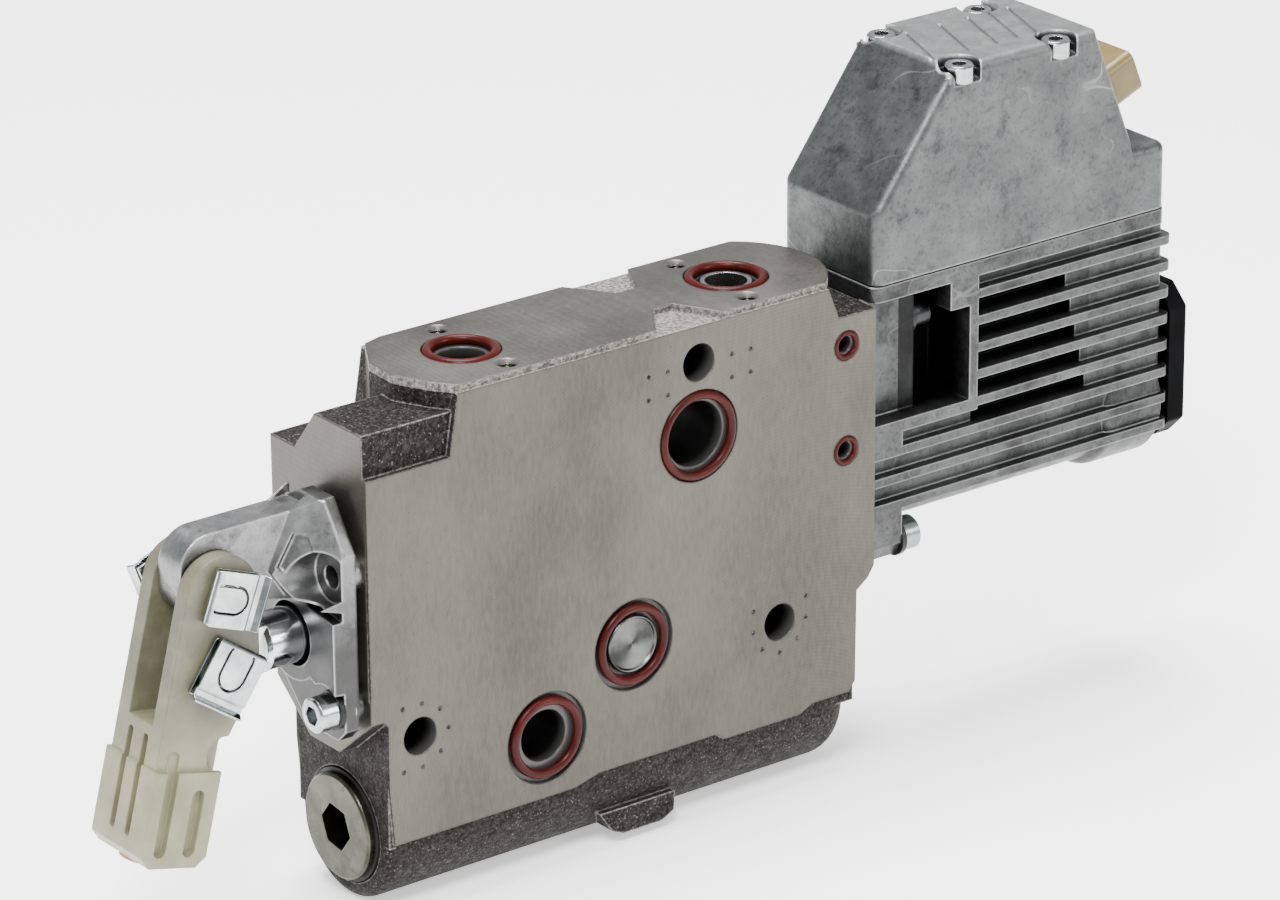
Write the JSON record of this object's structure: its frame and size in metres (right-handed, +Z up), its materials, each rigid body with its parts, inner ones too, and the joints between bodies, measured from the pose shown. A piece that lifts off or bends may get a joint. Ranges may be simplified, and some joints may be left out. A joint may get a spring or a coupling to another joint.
{
  "type": "hydraulic control valve",
  "caption": "Directional control valve section for a stacked block, with a spool moved by a hand lever and by an electrohydraulic actuator with a finned housing",
  "frame": {"origin": "centre of the pressure gallery, on the middle plane between the two sealing faces", "axes": "+X along the spool towards the actuator, +Y along the pressure gallery from the front face to the back face, +Z up towards the work ports"},
  "size_m": [0.3621, 0.0457, 0.2041],
  "materials": {
    "cast_iron": "rough cast with milled faces",
    "seal": "smooth red-brown elastomer",
    "turned_steel": "turned",
    "plated_steel": "turned and plated",
    "ground_steel": "ground",
    "spring_steel": "drawn wire",
    "black_rubber": "matte",
    "lever_plastic": "moulded, light texture",
    "insert_plastic": "moulded",
    "bright_zinc": "zinc plated",
    "black_steel": "black oxide",
    "cast_aluminium": "die-cast, satin",
    "housing_aluminium": "die-cast, dull",
    "cover_aluminium": "die-cast, mottled",
    "connector_plastic": "natural nylon",
    "pin_brass": "drawn",
    "board_plastic": "laminate",
    "coil_plastic": "moulded",
    "cap_plastic": "moulded, matte"
  },
  "bodies": {
    "valve": {"valve_body": "cast_iron", "pressure_seal": "seal", "tank_seal": "seal", "plugged_gallery_seal": "seal", "pilot_seals": "seal", "port_a_seal": "seal", "port_b_seal": "seal", "port_b_sleeve": "turned_steel", "gallery_plug": "turned_steel", "closing_plug": "plated_steel", "closing_plug_seal": "black_rubber", "compensator_spring": "spring_steel", "spool_wiper": "black_rubber", "centring_spring_left": "spring_steel", "centring_spring_right": "spring_steel", "sensor_coil": "coil_plastic", "lever_bracket": "cast_aluminium", "bracket_screws": "bright_zinc", "bracket_washers": "black_steel", "actuator_housing": "housing_aluminium", "actuator_cover": "cover_aluminium", "cover_gasket": "black_rubber", "cover_screws": "bright_zinc", "connector": "connector_plastic", "connector_pins": "pin_brass", "circuit_board": "board_plastic", "pilot_coils": "coil_plastic", "pilot_tubes": "turned_steel", "pilot_spring_a": "spring_steel", "pilot_spring_b": "spring_steel", "housing_screws": "bright_zinc", "housing_washers": "black_steel", "housing_gasket": "black_rubber", "end_cap": "cap_plastic"},
    "spool": {"main_spool": "ground_steel", "spool_rod": "ground_steel", "centring_collar": "turned_steel", "sensor_core": "turned_steel"},
    "lever": {"lever": "lever_plastic", "lever_insert": "insert_plastic", "pivot_pin": "turned_steel", "link_pin": "turned_steel", "pivot_clips": "bright_zinc", "link_clips": "bright_zinc"},
    "compensator": {"compensator_spool": "ground_steel"},
    "armature_a": {"pilot_armature_a": "turned_steel"},
    "armature_b": {"pilot_armature_b": "turned_steel"}
  },
  "joints": [
    {"name": "lever_swing", "type": "hinge", "parent": "valve", "child": "lever", "pos_m": [-0.1505, 0, -0.012], "axis": [0, -1, 0], "range_deg": [-18.2, 18.2], "stiffness_Nm_per_rad": 1},
    {"name": "spool_slide", "type": "slide", "parent": "valve", "child": "spool", "axis": [1, 0, 0], "range_m": [-0.007, 0.007], "deforming": ["centring_spring_left", "centring_spring_right"]},
    {"name": "compensator_slide", "type": "slide", "parent": "valve", "child": "compensator", "axis": [-1, 0, 0], "range_m": [0, 0.006], "stiffness_N_per_m": 3000, "springref_m": -0.004, "deforming": ["compensator_spring"]},
    {"name": "armature_a_slide", "type": "slide", "parent": "valve", "child": "armature_a", "axis": [1, 0, 0], "range_m": [0, 0.001], "stiffness_N_per_m": 400, "springref_m": -0.002, "deforming": ["pilot_spring_a"]},
    {"name": "armature_b_slide", "type": "slide", "parent": "valve", "child": "armature_b", "axis": [1, 0, 0], "range_m": [0, 0.001], "stiffness_N_per_m": 400, "springref_m": -0.002, "deforming": ["pilot_spring_b"]}
  ],
  "couplings": [
    {"joint": "spool_slide", "follows": "lever_swing", "m_per_rad": 0.022}
  ]
}
